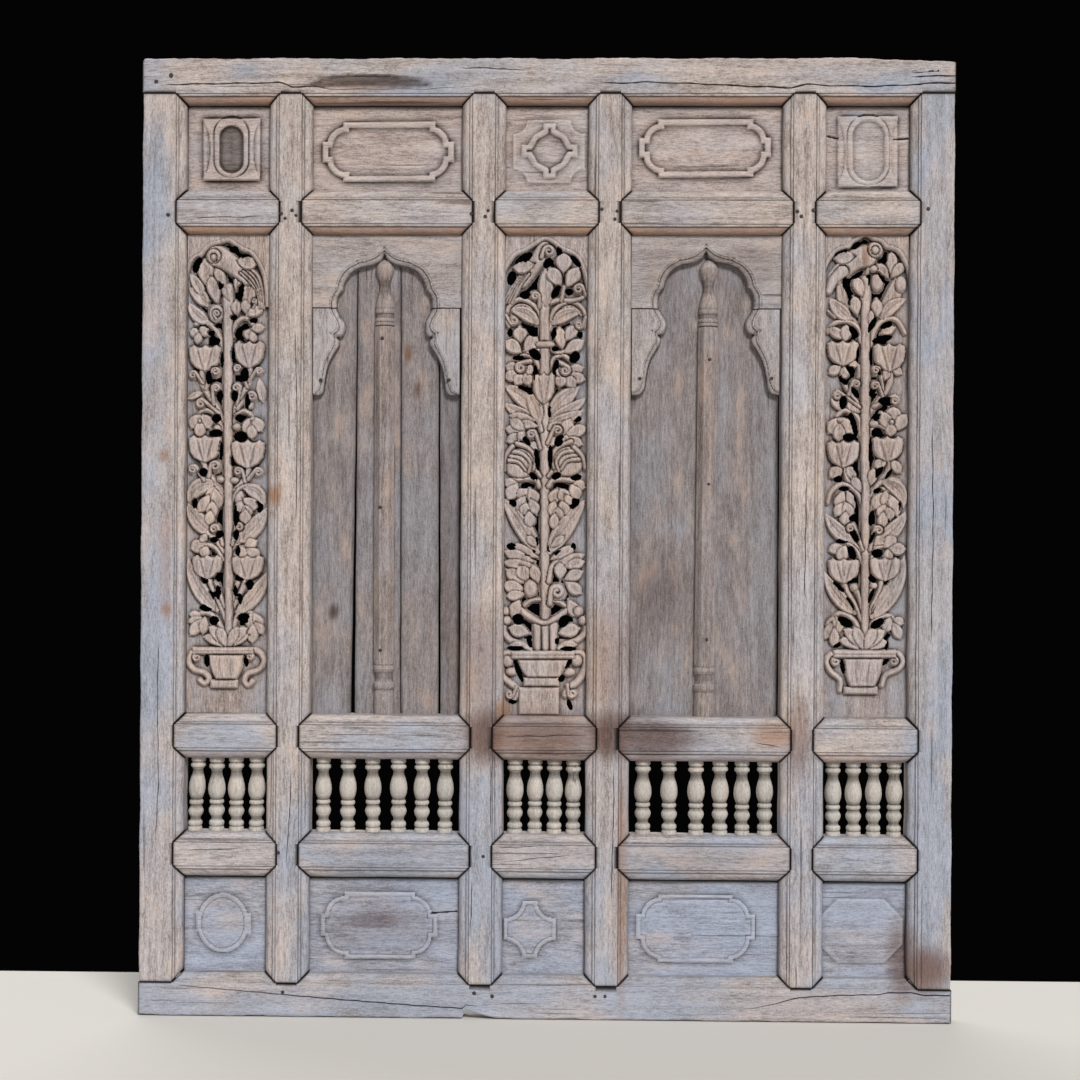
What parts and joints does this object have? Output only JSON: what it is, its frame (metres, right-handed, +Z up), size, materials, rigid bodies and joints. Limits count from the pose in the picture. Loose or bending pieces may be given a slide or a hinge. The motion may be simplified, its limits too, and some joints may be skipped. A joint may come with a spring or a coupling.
{
  "type": "carved window shutter",
  "caption": "Tall weathered timber window screen: jointed frame with moulded openings, pierced tree carvings, blind cusped arches over boards, carved cartouches and a row of turned balusters.",
  "frame": {"origin": "middle of the underside of the sill rail, at mid thickness", "axes": "+Z up, +X to the right seen from the carved side, carved side facing -Y"},
  "size_m": [1.79, 0.056, 2.118],
  "materials": {
    "frame_wood": "weathered bare wood",
    "panel_wood": "weathered bare wood",
    "carved_wood": "carved weathered wood",
    "arch_wood": "weathered bare wood",
    "board_wood": "weathered bare wood",
    "column_wood": "weathered bare wood",
    "baluster_wood": "weathered bare wood"
  },
  "bodies": {
    "root": {"head_rail": "frame_wood", "sill_rail": "frame_wood", "left_stile": "frame_wood", "right_stile": "frame_wood", "mullion_1": "frame_wood", "mullion_2": "frame_wood", "mullion_3": "frame_wood", "mullion_4": "frame_wood", "upper_rail_1": "frame_wood", "upper_rail_2": "frame_wood", "upper_rail_3": "frame_wood", "upper_rail_4": "frame_wood", "upper_rail_5": "frame_wood", "middle_rail_1": "frame_wood", "middle_rail_2": "frame_wood", "middle_rail_3": "frame_wood", "middle_rail_4": "frame_wood", "middle_rail_5": "frame_wood", "lower_rail_1": "frame_wood", "lower_rail_2": "frame_wood", "lower_rail_3": "frame_wood", "lower_rail_4": "frame_wood", "lower_rail_5": "frame_wood", "top_panel_1": "panel_wood", "top_panel_2": "panel_wood", "top_panel_3": "panel_wood", "top_panel_4": "panel_wood", "top_panel_5": "panel_wood", "bottom_panel_1": "panel_wood", "bottom_panel_2": "panel_wood", "bottom_panel_3": "panel_wood", "bottom_panel_4": "panel_wood", "bottom_panel_5": "panel_wood", "tree_panel_1": "carved_wood", "tree_panel_3": "carved_wood", "tree_panel_5": "carved_wood", "arch_crown_2": "arch_wood", "arch_crown_4": "arch_wood", "arch_brackets_2": "arch_wood", "arch_brackets_4": "arch_wood", "backing_boards_2": "board_wood", "backing_boards_4": "board_wood", "half_column_2": "column_wood", "half_column_4": "column_wood", "balusters_1": "baluster_wood", "balusters_2": "baluster_wood", "balusters_3": "baluster_wood", "balusters_4": "baluster_wood", "balusters_5": "baluster_wood"}
  },
  "joints": []
}
